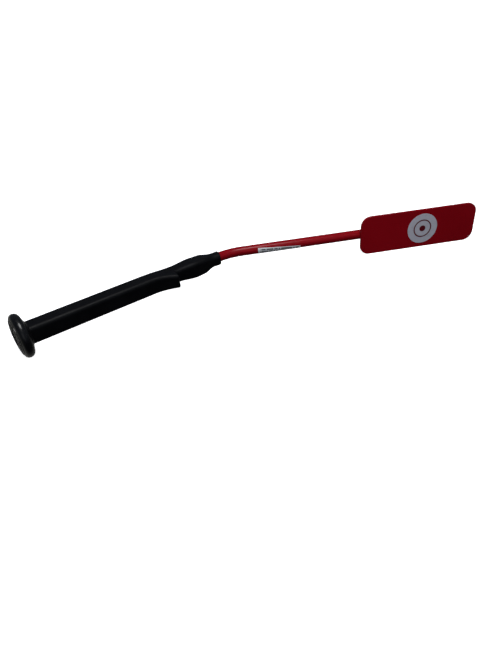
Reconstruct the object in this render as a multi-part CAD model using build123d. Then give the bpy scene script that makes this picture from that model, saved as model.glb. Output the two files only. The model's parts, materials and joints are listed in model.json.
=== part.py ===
from build123d import *
import os
from math import cos, pi, radians, sin, sqrt, tan

# Swing trainer: a flat striking paddle welded to a bent steel rod, with a moulded two-hand grip.
#
# Frame, in millimetres: +X runs along the grip axis from the knob towards the paddle, +Z is up
# when the trainer lies on its knob rim and the paddle's long lower edge, and the origin is on
# the grip axis at the mouth of the socket in the knob's end. The rod bends towards -Y, the side
# that the paddle's marked face looks to. The XY plane is the plane of symmetry.

# Rod
ROD_R = 6.0
ROD_START = 17.0
BEND_X = 269.0          # where the two straight runs of the rod would meet
BEND_ANGLE = 28.0
BEND_R = 70.0
ROD_END = 295.0         # from the bend point to the rod's far end, along the second run
ROD_CHAMFER = 1.0

# Paddle, placed along the rod's second run
PADDLE_L = 155.0
PADDLE_H = 51.0
PADDLE_T = 3.2
PADDLE_CORNER_R = 12.5
PADDLE_EDGE_R = 0.5
PADDLE_CENTRE = 248.0   # from the bend point to the paddle's centre

# Stitch welds between the rod and the paddle's back
WELD_COUNT = 3
WELD_L = 24.0
WELD_PITCH = 42.0
WELD_FIRST = 182.0      # start of the first stitch, from the bend point
WELD_LEG = 6.5          # reach of a bead along the plate, from the rod's line of contact
WELD_ROOT = 1.6
WELD_RISE = 55.0        # how far up the rod a bead climbs, in degrees from the line of contact

WELD_CROWN = 0.5        # how far a bead's face bulges
WELD_FOOT = 15.0        # where a bead's root leaves the rod, in degrees from the line of contact

# Round mark on the paddle's front, and the wrap-round label on the rod
MARK_R = 20.0
MARK_T = 0.2
MARK_SHIFT = 5.5        # from the paddle's centre towards its far end
LABEL_START = 36.7      # from the bend point
LABEL_L = 55.0
LABEL_T = 0.15
LABEL_GAP = 0.02
LABEL_TOP = 147.0       # its upper edge at the near end, in degrees from the rod's back over its top
LABEL_WRAP = 150.0      # degrees round the rod
LABEL_SKEW = 40.0       # degrees that the label drifts round the rod over its length
LABEL_STEPS = 10

# Grip: rubber skin over a rigid core
SKIN_START = 14.8
SKIN_END = 252.4
COLLAR_TILT = 13.0      # the collar's end face leans with the bend of the rod
CORE_START = 25.0
CORE_END = 228.0
CORE_R = 7.4
RIB_H = 1.6
RIB_W = 2.4
RIB_START = 34.0
RIB_END = 150.0
PIN_R = 2.0
PIN_INSET = 0.3
PIN_STATIONS = (62.0, 124.0)

# Grip's cross-section: a rounded four-sided shape. Its reach in Y, half height in Z and corner
# radius ease from one (station along X, size) to the next, apart for the back (+Y) and front.
HANDLE_HALF = 10.3
HANDLE_CORNER_R = 4.5
SWELL_START = 150.0
BACK_Y = ((150.0, 10.3), (186.0, 9.5), (211.0, 10.3), (224.0, 9.95), (247.0, 6.9))
BACK_Z = ((150.0, 10.3), (186.0, 9.3), (211.0, 10.3), (224.0, 9.95), (247.0, 7.1))
BACK_R = ((150.0, 4.5), (224.0, 4.9), (247.0, 6.2))
FRONT_Y = ((184.6, 9.2), (188.6, 8.2), (216.0, 11.5), (225.0, 11.0), (241.0, 8.9), (249.0, 9.5))
FRONT_Z = ((184.6, 8.8), (188.6, 8.5), (216.0, 10.5), (225.0, 10.4), (241.0, 8.1), (249.0, 8.6))
FRONT_R = ((188.6, 4.5), (222.0, 4.8), (244.0, 6.2))
SLICE_PITCH = 3.0

# Finger ledge on the grip's front, growing along X to a blunt tip
LEDGE_START = 156.0
LEDGE_END = 184.6
LEDGE_REACH = 21.2
LEDGE_HALF = 8.3
LEDGE_CORNER_R = 4.1
LEDGE_GROWTH = 1.9
LEDGE_TIP_R = 1.2
TIP_SHARES = (0.0, 0.4, 0.75, 0.95, 1.0)

# Knob
KNOB_R = 24.0
NECK_R = 12.9
NECK_END = 14.5
SPIGOT_END = 25.0
SOCKET_R = 6.7
SOCKET_DEPTH = 8.0
WELL_R = 6.2
WELL_DEPTH = 13.0
RING_H = 0.45
RING_W = 0.9
RING_RADII = (8.3, 18.6)
BAR_COUNT = 22
BAR_L = 5.0
BAR_W = 1.7
BAR_MIDDLE_R = 13.2

# Knob profile: stations along X and radii, from the socket's mouth round to the neck
FACE_START = (0.0, 7.2)
FACE_MIDDLE = (0.5, 14.0)
FACE_END = (1.7, 20.2)
RIM_FRONT = (3.0, 22.6)
RIM_TOP = (6.3, KNOB_R)
RIM_BACK = (10.6, 22.3)
BACK_START = (12.1, 19.3)
BACK_END = (13.6, 14.1)

# Screw and washer at the bottom of the knob's well
SCREW_R = 3.0
SCREW_L = 20.0
SCREW_HEAD_R = 5.2
SCREW_HEAD_H = 3.2
HEX_R = 2.3
HEX_DEPTH = 2.0
WASHER_R = 6.0
WASHER_T = 1.4
CLEARANCE_R = 3.3
TAP_DEPTH = 17.0


def along_rod(distance, out=0.0):
    """A place on the rod's second run: +X along it, +Y away from the paddle."""
    turned = Location((BEND_X, 0, 0), (0, 0, -BEND_ANGLE))
    return turned * Location((distance, out, 0))


def rod_path():
    corner = (BEND_X, 0)
    far = (BEND_X + ROD_END * cos(radians(BEND_ANGLE)), -ROD_END * sin(radians(BEND_ANGLE)))
    return FilletPolyline((ROD_START, 0), corner, far, radius=BEND_R)


def cross_pins(radius):
    """Upright cylinders through the rod and the core, at each pin station."""
    pin = Cylinder(radius, 2 * (CORE_R - PIN_INSET))
    return [Pos(x, 0, 0) * pin for x in PIN_STATIONS]


def x_cylinder(radius, start, end):
    return Pos((start + end) / 2, 0, 0) * Rot(0, 90, 0) * Cylinder(radius, end - start)


def bent_rod():
    circle = Plane(origin=(ROD_START, 0, 0), z_dir=(1, 0, 0)) * Circle(ROD_R)
    return sweep(circle, path=rod_path())


def shaft():
    rod = bent_rod()
    rod = chamfer(rod.faces().sort_by(Axis.X)[-1].edges(), ROD_CHAMFER)
    tapped = x_cylinder(SCREW_R, ROD_START, ROD_START + TAP_DEPTH)
    return rod - tapped - cross_pins(PIN_R)


def paddle():
    plate = Box(PADDLE_L, PADDLE_T, PADDLE_H)
    plate = fillet(plate.edges().filter_by(Axis.Y), PADDLE_CORNER_R)
    rims = plate.faces().sort_by(Axis.Y)
    plate = fillet(rims[0].edges() + rims[-1].edges(), PADDLE_EDGE_R)
    return along_rod(PADDLE_CENTRE, -ROD_R - PADDLE_T / 2) * plate


def weld_section(side):
    """Bead section in the corner between the round rod and the flat plate, above or below it."""
    rise = radians(WELD_RISE)
    root = (-sqrt(ROD_R**2 - WELD_ROOT**2), side * WELD_ROOT)
    top = (-ROD_R * cos(rise), side * ROD_R * sin(rise))
    middle_angle = (rise + radians(WELD_FOOT)) / 2
    middle = (-ROD_R * cos(middle_angle), side * ROD_R * sin(middle_angle))
    toe = (-ROD_R, side * WELD_LEG)
    heel = (-ROD_R, side * WELD_ROOT)
    bulge = WELD_CROWN / sqrt(2)
    crown = ((top[0] + toe[0]) / 2 + bulge, (top[1] + toe[1]) / 2 + bulge * side)
    outline = Wire([
        Line(heel, toe).edge(),
        ThreePointArc(toe, crown, top).edge(),
        ThreePointArc(top, middle, root).edge(),
        Line(root, heel).edge(),
    ])
    return make_face(outline.edges())


def paddle_welds():
    beads = []
    for index in range(WELD_COUNT):
        start = WELD_FIRST + index * WELD_PITCH
        for side in (1, -1):
            plane = Plane(origin=(0, 0, 0), x_dir=(0, 1, 0), z_dir=(1, 0, 0))
            bead = extrude(plane * weld_section(side), amount=WELD_L)
            beads.append(along_rod(start) * bead)
    return Compound(children=beads)


def paddle_mark():
    disc = Rot(90, 0, 0) * Cylinder(MARK_R, MARK_T)
    front = -ROD_R - PADDLE_T - MARK_T / 2
    return along_rod(PADDLE_CENTRE + MARK_SHIFT, front) * disc


def label_section(step):
    """One slice of the label: a thin arc round the rod, turned a little further at each step."""
    share = step / LABEL_STEPS
    inner, outer = ROD_R + LABEL_GAP, ROD_R + LABEL_GAP + LABEL_T
    first = LABEL_TOP + LABEL_SKEW * share
    plane = Plane(origin=(LABEL_START + LABEL_L * share, 0, 0), x_dir=(0, 1, 0), z_dir=(1, 0, 0))
    with BuildSketch(plane) as slice_:
        with BuildLine():
            inside = CenterArc((0, 0), inner, first, LABEL_WRAP)
            outside = CenterArc((0, 0), outer, first, LABEL_WRAP)
            Line(inside @ 0, outside @ 0)
            Line(inside @ 1, outside @ 1)
        make_face()
    return slice_.sketch


def shaft_label():
    slices = [label_section(step) for step in range(LABEL_STEPS + 1)]
    return along_rod(0) * loft(slices, ruled=True)


def eased(sizes, station):
    """The size at a station, easing level into and out of each listed (station, size)."""
    if station <= sizes[0][0]:
        return sizes[0][1]
    for (start, low), (end, high) in zip(sizes, sizes[1:]):
        if station <= end:
            return low + (high - low) * (1 - cos(pi * (station - start) / (end - start))) / 2
    return sizes[-1][1]


def grip_section(station, front):
    """Rounded cross-section, symmetric about the XY plane; front is (reach, half height, radius)."""
    back_y, back_z, back_r = (eased(sizes, station) for sizes in (BACK_Y, BACK_Z, BACK_R))
    front_y, front_z, front_r = front
    plane = Plane(origin=(station, 0, 0), x_dir=(0, 1, 0), z_dir=(1, 0, 0))
    with BuildSketch(plane) as section:
        Polygon((back_y, back_z), (-front_y, front_z), (-front_y, -front_z), (back_y, -back_z),
                align=None)
        fillet(section.vertices().group_by(Axis.X)[-1], back_r)
        fillet(section.vertices().group_by(Axis.X)[0], front_r)
    return section.sketch


def evenly(start, end):
    """Stations about one slice pitch apart, both ends included."""
    count = round((end - start) / SLICE_PITCH)
    return [start + (end - start) * index / count for index in range(count + 1)]


def ledge_front(station, inset=0.0):
    """The front of the cross-section as the finger ledge grows out of the handle."""
    grown = max(0.0, (station - LEDGE_START) / (LEDGE_END - LEDGE_START)) ** LEDGE_GROWTH
    return (HANDLE_HALF + (LEDGE_REACH - HANDLE_HALF) * grown - inset,
            HANDLE_HALF + (LEDGE_HALF - HANDLE_HALF) * grown - inset / 2,
            HANDLE_CORNER_R + (LEDGE_CORNER_R - HANDLE_CORNER_R) * grown - inset / 2)


def ledge_tip():
    """The blunt end of the ledge, rounded over its last millimetre."""
    start = LEDGE_END - LEDGE_TIP_R
    slices = []
    for share in TIP_SHARES:
        inset = LEDGE_TIP_R * (1 - sqrt(1 - share**2))
        station = start + LEDGE_TIP_R * share
        reach, half, corner = ledge_front(start, inset)
        slices.append(grip_section(station, (reach, half, corner)))
    return loft(slices)


def swell_front(station):
    return tuple(eased(sizes, station) for sizes in (FRONT_Y, FRONT_Z, FRONT_R))


def grip_outline():
    """The grip's outer shape: straight handle, finger ledge, palm swell and collar."""
    first = grip_section(SKIN_START, ledge_front(SKIN_START))
    handle = extrude(first, amount=SWELL_START - SKIN_START, dir=(1, 0, 0))
    ledge = loft([grip_section(x, ledge_front(x))
                  for x in evenly(SWELL_START, LEDGE_END - LEDGE_TIP_R)])
    past_end = SKIN_END + 2 * HANDLE_HALF * tan(radians(COLLAR_TILT))
    swell = loft([grip_section(x, swell_front(x)) for x in evenly(LEDGE_END, past_end)])
    lean = radians(COLLAR_TILT)
    end_face = Plane(origin=(SKIN_END, 0, 0), z_dir=(cos(lean), -sin(lean), 0))
    return split(handle + ledge + ledge_tip() + swell, bisect_by=end_face, keep=Keep.BOTTOM)


def core_outline():
    tube = x_cylinder(CORE_R, CORE_START, CORE_END)
    rib_l = RIB_END - RIB_START
    middle = (RIB_START + RIB_END) / 2
    across = 2 * (CORE_R + RIB_H)
    return tube + Pos(middle, 0, 0) * (Box(rib_l, across, RIB_W) + Box(rib_l, RIB_W, across))


def grip_core():
    return core_outline() - x_cylinder(ROD_R, CORE_START, CORE_END) - cross_pins(PIN_R)


def grip_skin():
    skin = grip_outline() - core_outline()
    skin -= x_cylinder(CORE_R, SKIN_START, CORE_START)
    return skin - bent_rod()


def core_pins():
    return Compound(children=cross_pins(PIN_R))


def knob_body():
    """The knob's outer shape, turned about the grip axis."""
    profile = Wire([
        Line((0, 0), FACE_START).edge(),
        ThreePointArc(FACE_START, FACE_MIDDLE, FACE_END).edge(),
        ThreePointArc(FACE_END, RIM_FRONT, RIM_TOP).edge(),
        ThreePointArc(RIM_TOP, RIM_BACK, BACK_START).edge(),
        Line(BACK_START, BACK_END).edge(),
        Line(BACK_END, (NECK_END, NECK_R)).edge(),
        Line((NECK_END, NECK_R), (NECK_END, 0)).edge(),
        Line((NECK_END, 0), (0, 0)).edge(),
    ])
    return revolve(make_face(profile.edges()), axis=Axis.X)


def knob_pattern_zone():
    """Where the knob's end face is raised: two rings, and plain bars set round between them."""
    depth = FACE_END[0] + 2 * RING_H
    rings = [
        x_cylinder(r + RING_W / 2, -RING_H, depth) - x_cylinder(r - RING_W / 2, -RING_H, depth)
        for r in RING_RADII
    ]
    bar = Pos(0, 0, BAR_MIDDLE_R) * Box(2 * depth, BAR_W, BAR_L)
    bars = [Rot(360 * index / BAR_COUNT, 0, 0) * bar for index in range(BAR_COUNT)]
    return rings + bars


def knob():
    body = knob_body()
    lifted = Pos(-RING_H, 0, 0) * body
    raised = [lifted & zone for zone in knob_pattern_zone()]
    body += raised
    body += x_cylinder(CORE_R, NECK_END - 1, SPIGOT_END)
    body -= x_cylinder(SOCKET_R, -RING_H, SOCKET_DEPTH)
    body -= x_cylinder(WELL_R, SOCKET_DEPTH - 1, WELL_DEPTH)
    body -= x_cylinder(CLEARANCE_R, WELL_DEPTH - 1, ROD_START)
    return body - x_cylinder(ROD_R, ROD_START, SPIGOT_END)


def knob_washer():
    washer = x_cylinder(WASHER_R, WELL_DEPTH - WASHER_T, WELL_DEPTH)
    return washer - x_cylinder(CLEARANCE_R, WELL_DEPTH - WASHER_T, WELL_DEPTH)


def knob_screw():
    seat = WELL_DEPTH - WASHER_T
    head = x_cylinder(SCREW_HEAD_R, seat - SCREW_HEAD_H, seat)
    head = fillet(head.edges().sort_by(Axis.X)[0], SCREW_HEAD_H / 2)
    shank = x_cylinder(SCREW_R, seat - 1, seat + SCREW_L)
    plane = Plane(origin=(seat - SCREW_HEAD_H, 0, 0), z_dir=(1, 0, 0))
    return head + shank - extrude(plane * RegularPolygon(HEX_R, 6), amount=HEX_DEPTH)


NODES = {
    "shaft": shaft,
    "paddle": paddle,
    "paddle_welds": paddle_welds,
    "paddle_mark": paddle_mark,
    "shaft_label": shaft_label,
    "grip_skin": grip_skin,
    "grip_core": grip_core,
    "core_pins": core_pins,
    "knob": knob,
    "knob_washer": knob_washer,
    "knob_screw": knob_screw,
}

os.makedirs("parts", exist_ok=True)
for node, make in NODES.items():
    export_step(make(), f"parts/{node}.step")
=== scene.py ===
import json
from math import atan2, radians

import bmesh
import bpy
from mathutils import Matrix, Vector

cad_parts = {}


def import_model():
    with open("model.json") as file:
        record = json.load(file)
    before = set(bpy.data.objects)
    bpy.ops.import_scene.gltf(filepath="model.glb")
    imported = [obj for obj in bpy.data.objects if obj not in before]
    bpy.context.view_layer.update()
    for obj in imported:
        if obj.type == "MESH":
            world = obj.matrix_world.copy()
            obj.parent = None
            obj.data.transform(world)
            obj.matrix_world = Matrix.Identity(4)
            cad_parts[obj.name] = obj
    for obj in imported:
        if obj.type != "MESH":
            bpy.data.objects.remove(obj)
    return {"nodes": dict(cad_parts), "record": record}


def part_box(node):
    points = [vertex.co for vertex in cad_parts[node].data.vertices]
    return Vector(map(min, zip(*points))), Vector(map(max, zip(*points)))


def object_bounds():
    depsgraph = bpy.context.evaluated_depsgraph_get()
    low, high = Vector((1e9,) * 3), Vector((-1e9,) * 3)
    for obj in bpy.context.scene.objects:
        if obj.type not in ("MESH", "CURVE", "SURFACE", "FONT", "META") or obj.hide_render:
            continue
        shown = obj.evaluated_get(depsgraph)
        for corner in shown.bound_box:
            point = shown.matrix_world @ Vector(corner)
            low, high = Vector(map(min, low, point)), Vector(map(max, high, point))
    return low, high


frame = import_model()
cad_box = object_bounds()

MM = 0.001
FULL_TURN = 360.0

# Camera, in the frame's metres and degrees: heading from +X towards +Y, pitch above the horizon.
CAMERA_AT = (-0.05486, -0.48859, 0.27634)
CAMERA_HEADING = 55.08
CAMERA_PITCH = -33.98
CAMERA_ROLL = -5.19
CAMERA_LENS = 27.68


# ---- Places read from the frame --------------------------------------------------------------

def mount(name):
    """Position and direction of one of the record's mounts."""
    found = next(m for m in frame["record"]["mounts"] if m["name"] == name)
    return Vector(found["pos_m"]), Vector(found["axis"]).normalized()


def stations(node, origin, axis):
    """How far along an axis each of a node's corners lies, in metres."""
    return [(v.co - origin).dot(axis) for v in frame["nodes"][node].data.vertices]


ROD_POINT, ROD_AXIS = mount("shaft_clip")
ROD_TURN = atan2(ROD_AXIS.y, ROD_AXIS.x)
_, SOCKET_AXIS = mount("knob_socket")     # points out of the knob's end face


# ---- Materials ---------------------------------------------------------------------------------

def add(tree, kind, inputs=None, **settings):
    """A new node, with its settings, and each input given as a number or as another's output."""
    node = tree.nodes.new(kind)
    for name, value in settings.items():
        setattr(node, name, value)
    for name, value in (inputs or {}).items():
        if isinstance(value, bpy.types.NodeSocket):
            tree.links.new(value, node.inputs[name])
        else:
            node.inputs[name].default_value = value
    return node


def start_material(name, **numbers):
    """A material and its shader, with plain numbers set on the shader's own sockets."""
    made = bpy.data.materials.new(name)
    made.use_nodes = True
    shader = made.node_tree.nodes["Principled BSDF"]
    for socket, value in numbers.items():
        shader.inputs[socket.replace("_", " ")].default_value = value
    return made, made.node_tree, shader


def place(tree, origin=(0, 0, 0), turn=0.0):
    """Coordinates in millimetres, from an origin and turned about the vertical."""
    coords = add(tree, "ShaderNodeTexCoord").outputs["Object"]
    mapping = add(tree, "ShaderNodeMapping", {
        "Vector": coords, "Location": origin, "Rotation": (0, 0, turn), "Scale": (MM, MM, MM),
    }, vector_type="TEXTURE")
    return mapping.outputs["Vector"]


def noise(tree, coords, scale, detail=3.0, rough=0.5):
    node = add(tree, "ShaderNodeTexNoise", {
        "Vector": coords, "Scale": scale, "Detail": detail, "Roughness": rough,
    })
    return node.outputs["Fac"]


def spread(tree, value, low, high, to_low=0.0, to_high=1.0):
    """Maps low..high onto to_low..to_high, and clamps outside."""
    node = add(tree, "ShaderNodeMapRange", {
        "Value": value, "From Min": low, "From Max": high, "To Min": to_low, "To Max": to_high,
    })
    return node.outputs["Result"]


def calculate(tree, operation, first, second=0.0):
    return add(tree, "ShaderNodeMath", {0: first, 1: second}, operation=operation).outputs[0]


def blend_colours(tree, share, first, second):
    node = add(tree, "ShaderNodeMix", {"Factor": share}, data_type="RGBA")
    for index, value in ((6, first), (7, second)):
        if isinstance(value, bpy.types.NodeSocket):
            tree.links.new(value, node.inputs[index])
        else:
            node.inputs[index].default_value = (*value, 1.0)
    return node.outputs[2]


def edge_mask(tree, radius, low, high):
    """1 on a piece's sharp edges, 0 on its flats, from how far a rounded normal turns away."""
    rounded = add(tree, "ShaderNodeBevel", {"Radius": radius}, samples=6).outputs[0]
    plain = add(tree, "ShaderNodeNewGeometry").outputs["Normal"]
    along = add(tree, "ShaderNodeVectorMath", {0: rounded, 1: plain}, operation="DOT_PRODUCT")
    return spread(tree, along.outputs["Value"], 1.0 - low, 1.0 - high)


def put_bump(tree, shader, layers):
    """Stacks height layers, each (height, distance in metres, strength), onto the normal."""
    normal = None
    for height, distance, strength in layers:
        inputs = {"Height": height, "Distance": distance, "Strength": strength}
        if normal is not None:
            inputs["Normal"] = normal
        normal = add(tree, "ShaderNodeBump", inputs).outputs["Normal"]
    tree.links.new(normal, shader.inputs["Normal"])


RED = (0.310, 0.0030, 0.0090)
RED_DEEP = (0.250, 0.0020, 0.0070)
RED_DUSTY = (0.330, 0.0100, 0.0160)
STEEL_BARE = (0.30, 0.27, 0.25)


def red_paint():
    """Gloss red paint: a little orange peel, cloudy depth, dust and a few worn edges."""
    made, tree, shader = start_material("red_paint", Specular_IOR_Level=0.17)
    mm = place(tree)
    cloud = spread(tree, noise(tree, mm, 0.012, 2.0), 0.30, 0.70)
    painted_reflection = spread(tree, noise(tree, mm, 1.6, 5.0, 0.7), 0.62, 0.80, 0.0, 0.35)
    base = blend_colours(tree, cloud, RED_DEEP, RED)
    base = blend_colours(tree, painted_reflection, base, RED_DUSTY)
    chips = spread(tree, noise(tree, mm, 0.55, 6.0, 0.65), 0.60, 0.66)
    worn = calculate(tree, "MULTIPLY", edge_mask(tree, 0.9 * MM, 0.03, 0.16), chips)
    base = blend_colours(tree, worn, base, STEEL_BARE)
    tree.links.new(base, shader.inputs["Base Color"])
    tree.links.new(calculate(tree, "MULTIPLY", worn, 0.8), shader.inputs["Metallic"])
    smear = spread(tree, noise(tree, mm, 0.12, 4.0, 0.6), 0.3, 0.7, 0.15, 0.22)
    tree.links.new(smear, shader.inputs["Roughness"])
    put_bump(tree, shader, (
        (noise(tree, mm, 0.7, 2.0), 0.06 * MM, 0.35),
        (noise(tree, mm, 4.0, 2.0), 0.012 * MM, 0.25),
    ))
    return made


RUBBER = (0.0018, 0.0018, 0.0026)
RUBBER_PALE = (0.0040, 0.0040, 0.0052)


def grip_rubber():
    """Matt moulded rubber: fine spark-eroded grain and cloudy handling marks."""
    made, tree, shader = start_material("grip_rubber", Specular_IOR_Level=0.12)
    mm = place(tree)
    cloud = spread(tree, noise(tree, mm, 0.06, 4.0, 0.6), 0.35, 0.70)
    base = blend_colours(tree, cloud, RUBBER, RUBBER_PALE)
    tree.links.new(base, shader.inputs["Base Color"])
    rough = spread(tree, noise(tree, mm, 0.15, 4.0, 0.6), 0.3, 0.7, 0.42, 0.56)
    tree.links.new(rough, shader.inputs["Roughness"])
    grain = add(tree, "ShaderNodeTexVoronoi", {"Vector": mm, "Scale": 2.6},
                feature="SMOOTH_F1").outputs["Distance"]
    put_bump(tree, shader, (
        (noise(tree, mm, 0.09, 2.0), 0.5 * MM, 0.12),
        (grain, 0.05 * MM, 0.45),
        (noise(tree, mm, 6.0, 3.0), 0.02 * MM, 0.35),
    ))
    return made


KNOB_BLACK = (0.0040, 0.0040, 0.0048)
KNOB_SCUFFED = (0.030, 0.030, 0.031)
# paler grey painted on the end face: a painted reflection of a bright surround seen at a grazing
# angle
KNOB_PAINTED_REFLECTION = (0.036, 0.034, 0.028)


def knob_plastic():
    """Gloss black plastic: smudges, scuffed edges, hairline scratches and a painted reflection on
    the end face.
    """
    made, tree, shader = start_material("knob_plastic", Specular_IOR_Level=0.38)
    mm = place(tree)
    hair = add(tree, "ShaderNodeTexWave", {
        "Vector": mm, "Scale": 0.35, "Distortion": 9.0, "Detail": 4.0, "Detail Scale": 1.4,
    }).outputs["Fac"]
    scratch = spread(tree, hair, 0.985, 1.0)
    patches = spread(tree, noise(tree, mm, 0.5, 5.0, 0.65), 0.40, 0.62)
    scuff = calculate(tree, "MULTIPLY", edge_mask(tree, 0.7 * MM, 0.05, 0.25), patches)
    faint_scratch = calculate(tree, "MULTIPLY", scratch, 0.3)
    marked = calculate(tree, "MAXIMUM", scuff, faint_scratch)
    base = blend_colours(tree, marked, KNOB_BLACK, KNOB_SCUFFED)
    # The face pointing out along the socket gets the paler grey in clouds: painted reflection
    normal = add(tree, "ShaderNodeNewGeometry").outputs["Normal"]
    outward = add(tree, "ShaderNodeVectorMath", {0: normal, 1: SOCKET_AXIS}, operation="DOT_PRODUCT")
    end_face = spread(tree, outward.outputs["Value"], 0.86, 0.97)
    clouds = spread(tree, noise(tree, mm, 0.9, 5.0, 0.65), 0.30, 0.60, 0.35, 1.0)
    painted_reflection = calculate(tree, "MULTIPLY", end_face, clouds)
    base = blend_colours(tree, painted_reflection, base, KNOB_PAINTED_REFLECTION)
    tree.links.new(base, shader.inputs["Base Color"])
    smudge = spread(tree, noise(tree, mm, 0.16, 5.0, 0.65), 0.35, 0.70, 0.20, 0.36)
    roughness = calculate(tree, "ADD", smudge, calculate(tree, "MULTIPLY", scuff, 0.2))
    tree.links.new(roughness, shader.inputs["Roughness"])
    put_bump(tree, shader, (
        (noise(tree, mm, 0.25, 2.0), 0.15 * MM, 0.15),
        (scratch, 0.01 * MM, -0.25),
        (noise(tree, mm, 3.0, 3.0), 0.015 * MM, 0.25),
    ))
    return made


CORE_DARK = (0.05, 0.05, 0.05)
CORE_PALE = (0.11, 0.11, 0.11)


def core_plastic():
    """Dark glass-filled plastic, of the grip's hidden core."""
    made, tree, shader = start_material("core_plastic")
    mm = place(tree)
    fibres = noise(tree, mm, 1.8, 5.0, 0.7)
    base = blend_colours(tree, spread(tree, fibres, 0.5, 0.75), CORE_DARK, CORE_PALE)
    tree.links.new(base, shader.inputs["Base Color"])
    tree.links.new(spread(tree, fibres, 0.3, 0.7, 0.45, 0.65), shader.inputs["Roughness"])
    put_bump(tree, shader, ((fibres, 0.03 * MM, 0.4),))
    return made


ZINC_BLUE = (0.48, 0.50, 0.53)
ZINC_PALE = (0.62, 0.62, 0.60)


def steel_hardware():
    """Zinc-plated steel: pale and bluish, with turned tool marks and cloudy plating."""
    made, tree, shader = start_material("steel_hardware", Metallic=1.0)
    mm = place(tree)
    cloud = noise(tree, mm, 0.5, 4.0, 0.6)
    base = blend_colours(tree, spread(tree, cloud, 0.35, 0.7), ZINC_BLUE, ZINC_PALE)
    tree.links.new(base, shader.inputs["Base Color"])
    tree.links.new(spread(tree, cloud, 0.3, 0.7, 0.22, 0.42), shader.inputs["Roughness"])
    rings = add(tree, "ShaderNodeTexWave", {"Vector": mm, "Scale": 1.6, "Distortion": 0.6},
                wave_type="RINGS", rings_direction="X").outputs["Fac"]
    put_bump(tree, shader, ((rings, 0.01 * MM, 0.3), (noise(tree, mm, 3.0), 0.01 * MM, 0.3)))
    return made


MARK_WHITE = (0.56, 0.56, 0.64)
MARK_SOILED = (0.36, 0.34, 0.38)
MARK_RED = (0.105, 0.0010, 0.0060)
MARK_RINGS = ((0.0, 0.20), (0.52, 0.60))     # inner and outer edges, as shares of the mark's radius
INK_EDGE = 0.006                             # half the width over which a ring's edge fades


def printed_mark():
    """White vinyl disc printed with a plain ring target, slightly soiled."""
    made, tree, shader = start_material("mark_vinyl", Specular_IOR_Level=0.4)
    low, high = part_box("paddle_mark")
    mm = place(tree)
    away = add(tree, "ShaderNodeVectorMath", {0: mm, 1: (low + high) / 2 / MM}, operation="DISTANCE")
    radius = (high.z - low.z) / 2 / MM
    share = calculate(tree, "DIVIDE", away.outputs["Value"], radius)
    ragged = spread(tree, noise(tree, mm, 3.0, 3.0), 0.0, 1.0, -0.004, 0.004)
    share = calculate(tree, "ADD", share, ragged)
    ink = None
    for inner, outer in MARK_RINGS:
        inside = spread(tree, share, outer - INK_EDGE, outer + INK_EDGE, 1.0, 0.0)
        outside = spread(tree, share, inner - INK_EDGE, inner + INK_EDGE) if inner else 1.0
        band = calculate(tree, "MULTIPLY", inside, outside)
        ink = band if ink is None else calculate(tree, "MAXIMUM", ink, band)
    soil = spread(tree, noise(tree, mm, 0.22, 5.0, 0.65), 0.45, 0.8, 0.0, 0.35)
    white = blend_colours(tree, soil, MARK_WHITE, MARK_SOILED)
    tree.links.new(blend_colours(tree, ink, white, MARK_RED), shader.inputs["Base Color"])
    tree.links.new(spread(tree, soil, 0.0, 0.35, 0.38, 0.55), shader.inputs["Roughness"])
    put_bump(tree, shader, ((noise(tree, mm, 1.4, 3.0), 0.02 * MM, 0.3), (ink, 0.01 * MM, 0.3)))
    return made


LABEL_WHITE = (0.86, 0.87, 0.90)
LABEL_SOILED = (0.60, 0.60, 0.61)
LABEL_INK = (0.085, 0.086, 0.090)
LABEL_DRIFT = 40.0      # degrees that the label turns round the rod over its length
LABEL_ROWS = (          # each row's edges in degrees round the rod at the near end, and its seed
    (160.0, 176.0, 3.1),
    (187.0, 203.0, 9.7),
    (215.0, 231.0, 5.3),
)
ROW_EDGE = 1.5          # degrees over which half of a row's edge fades
MARGIN = (2.2, 2.6)     # mm from each end, between which the print fades in
STEPS_PER_MM = 0.9      # how finely a row is cut into bars
GAP_SHARE = (0.14, 0.16)     # steps with a random number below this stay white


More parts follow.
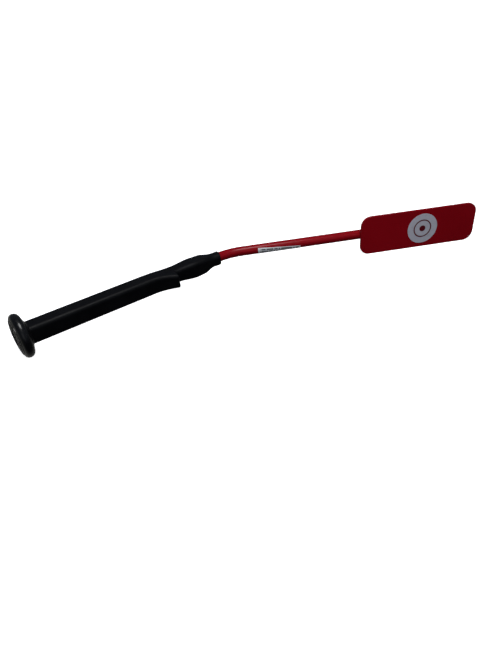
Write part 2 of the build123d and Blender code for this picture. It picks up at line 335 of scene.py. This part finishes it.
def printed_label():
    """White vinyl label on the rod, printed with three rows of plain grey bars."""
    made, tree, shader = start_material("label_vinyl")
    mm = place(tree, ROD_POINT, ROD_TURN)
    apart = add(tree, "ShaderNodeSeparateXYZ", {"Vector": mm})
    along, out, high = (apart.outputs[name] for name in "XYZ")
    ends = stations("shaft_label", ROD_POINT, ROD_AXIS)
    start, end = min(ends) / MM, max(ends) / MM
    turned = calculate(tree, "DEGREES", calculate(tree, "ARCTAN2", high, out))
    drift = calculate(tree, "MULTIPLY", spread(tree, along, start, end), LABEL_DRIFT)
    untwisted = calculate(tree, "SUBTRACT", turned, drift)
    positive = calculate(tree, "ADD", untwisted, 2 * FULL_TURN)
    down = calculate(tree, "MODULO", positive, FULL_TURN)
    soil = spread(tree, noise(tree, mm, 0.5, 5.0, 0.65), 0.45, 0.8, 0.0, 0.4)
    white = blend_colours(tree, soil, LABEL_WHITE, LABEL_SOILED)
    ink = None
    for row_start, row_end, seed in LABEL_ROWS:
        below = spread(tree, down, row_start - ROW_EDGE, row_start + ROW_EDGE)
        above = spread(tree, down, row_end - ROW_EDGE, row_end + ROW_EDGE, 1.0, 0.0)
        row = calculate(tree, "MULTIPLY", below, above)
        moved = calculate(tree, "ADD", along, seed)
        step = calculate(tree, "FLOOR", calculate(tree, "MULTIPLY", moved, STEPS_PER_MM))
        random = add(tree, "ShaderNodeTexWhiteNoise", {"W": step}, noise_dimensions="1D")
        bars = spread(tree, random.outputs["Value"], *GAP_SHARE)
        row = calculate(tree, "MULTIPLY", row, bars)
        ink = row if ink is None else calculate(tree, "MAXIMUM", ink, row)
    near, far = MARGIN
    after_start = spread(tree, along, start + near, start + far)
    before_end = spread(tree, along, end - far, end - near, 1.0, 0.0)
    ink = calculate(tree, "MULTIPLY", ink, calculate(tree, "MULTIPLY", after_start, before_end))
    tree.links.new(blend_colours(tree, ink, white, LABEL_INK), shader.inputs["Base Color"])
    tree.links.new(spread(tree, soil, 0.0, 0.4, 0.30, 0.48), shader.inputs["Roughness"])
    put_bump(tree, shader, ((noise(tree, mm, 1.1, 3.0), 0.02 * MM, 0.35),))
    return made


# ---- Stage, lights and camera -------------------------------------------------------------------

DOME_RADIUS = 12.0
FLOOR_GLOW = 1.0
PAPER = (0.93, 0.93, 0.93, 1.0)
WHITE = (1.0, 1.0, 1.0, 1.0)

# Colours of the surround, above and below the horizon, on the camera's side and on the far side.
SKY_BEHIND = (0.075, 0.090, 0.110)
SKY_FRONT = (0.110, 0.130, 0.155)
BELOW_BEHIND = (0.240, 0.240, 0.225)
BELOW_FRONT = (0.015, 0.015, 0.018)

# Each light's name, place, aim, size and power in watts.
LIGHTS = (
    ("overhead", (0.20, -0.25, 1.10), (0.22, -0.03, 0.0), 0.50, 7.5),
    ("front_fill", (-0.35, -1.00, 0.45), (0.30, -0.08, 0.0), 0.70, 0.5),
    ("paddle_side", (0.26, -0.44, 0.28), (0.46, -0.10, 0.0), 0.20, 0.42),
)
HIDDEN_FROM_GLOSS = "paddle_side"


def stage_piece(name, bm, paper):
    """A glowing part of the set, which neither lights the object nor shows in its gloss."""
    mesh = bpy.data.meshes.new(name)
    bm.to_mesh(mesh)
    bm.free()
    mesh.materials.append(paper)
    piece = bpy.data.objects.new(name, mesh)
    piece.location.z = cad_box[0].z
    piece.visible_glossy = False
    piece.visible_diffuse = False
    bpy.context.scene.collection.objects.link(piece)
    return piece


def floor_and_backdrop():
    """A pale floor, and a pale dome far behind it that casts no shadow."""
    paper, _, shader = start_material("floor_paper", Roughness=0.9, Specular_IOR_Level=0.1)
    shader.inputs["Base Color"].default_value = PAPER
    shader.inputs["Emission Color"].default_value = WHITE
    shader.inputs["Emission Strength"].default_value = FLOOR_GLOW
    flat = bmesh.new()
    bmesh.ops.create_grid(flat, x_segments=1, y_segments=1, size=DOME_RADIUS)
    stage_piece("floor", flat, paper)
    dome = bmesh.new()
    bmesh.ops.create_uvsphere(dome, u_segments=48, v_segments=24, radius=DOME_RADIUS)
    stage_piece("backdrop", dome, paper).visible_shadow = False


def soft_light(name, at, aim, size, watts):
    light = bpy.data.lights.new(name, "AREA")
    light.shape = "RECTANGLE"
    light.size = size
    light.size_y = size
    light.energy = watts
    lamp = bpy.data.objects.new(name, light)
    lamp.location = at
    lamp.rotation_euler = (Vector(aim) - Vector(at)).to_track_quat("-Z", "Y").to_euler()
    lamp.visible_glossy = name != HIDDEN_FROM_GLOSS
    bpy.context.scene.collection.objects.link(lamp)


def world():
    """A dim surround, for the reflections: darkest below the horizon on the camera's side."""
    made = bpy.data.worlds.new("surround")
    made.use_nodes = True
    tree = made.node_tree
    back = tree.nodes["Background"]
    coords = add(tree, "ShaderNodeTexCoord").outputs["Generated"]
    apart = add(tree, "ShaderNodeSeparateXYZ", {"Vector": coords})
    behind = spread(tree, apart.outputs["Y"], -0.4, 0.4)
    above = blend_colours(tree, behind, SKY_FRONT, SKY_BEHIND)
    below = blend_colours(tree, behind, BELOW_FRONT, BELOW_BEHIND)
    raised = spread(tree, apart.outputs["Z"], -0.08, 0.08)
    tree.links.new(blend_colours(tree, raised, below, above), back.inputs["Color"])
    bpy.context.scene.world = made


def camera():
    lens = bpy.data.cameras.new("camera")
    lens.lens = CAMERA_LENS
    lens.clip_start = 0.01
    lens.clip_end = 50.0
    eye = bpy.data.objects.new("camera", lens)
    turn = (Matrix.Rotation(radians(CAMERA_HEADING - 90), 4, "Z")
            @ Matrix.Rotation(radians(90 + CAMERA_PITCH), 4, "X")
            @ Matrix.Rotation(radians(CAMERA_ROLL), 4, "Z"))
    eye.matrix_world = Matrix.Translation(CAMERA_AT) @ turn
    bpy.context.scene.collection.objects.link(eye)
    bpy.context.scene.camera = eye


# ---- Putting it together -------------------------------------------------------------------------

def dress(paints):
    """Gives each carried-over node its better material."""
    for node, paint in paints.items():
        for slot in frame["nodes"][node].material_slots:
            slot.material = paint


red = red_paint()
steel = steel_hardware()
dress({
    "shaft": red,
    "paddle": red,
    "paddle_welds": red,
    "paddle_mark": printed_mark(),
    "shaft_label": printed_label(),
    "grip_skin": grip_rubber(),
    "grip_core": core_plastic(),
    "core_pins": steel,
    "knob": knob_plastic(),
    "knob_washer": steel,
    "knob_screw": steel,
})

floor_and_backdrop()
world()
camera()
for light in LIGHTS:
    soft_light(*light)

bpy.context.scene.view_settings.view_transform = "Standard"
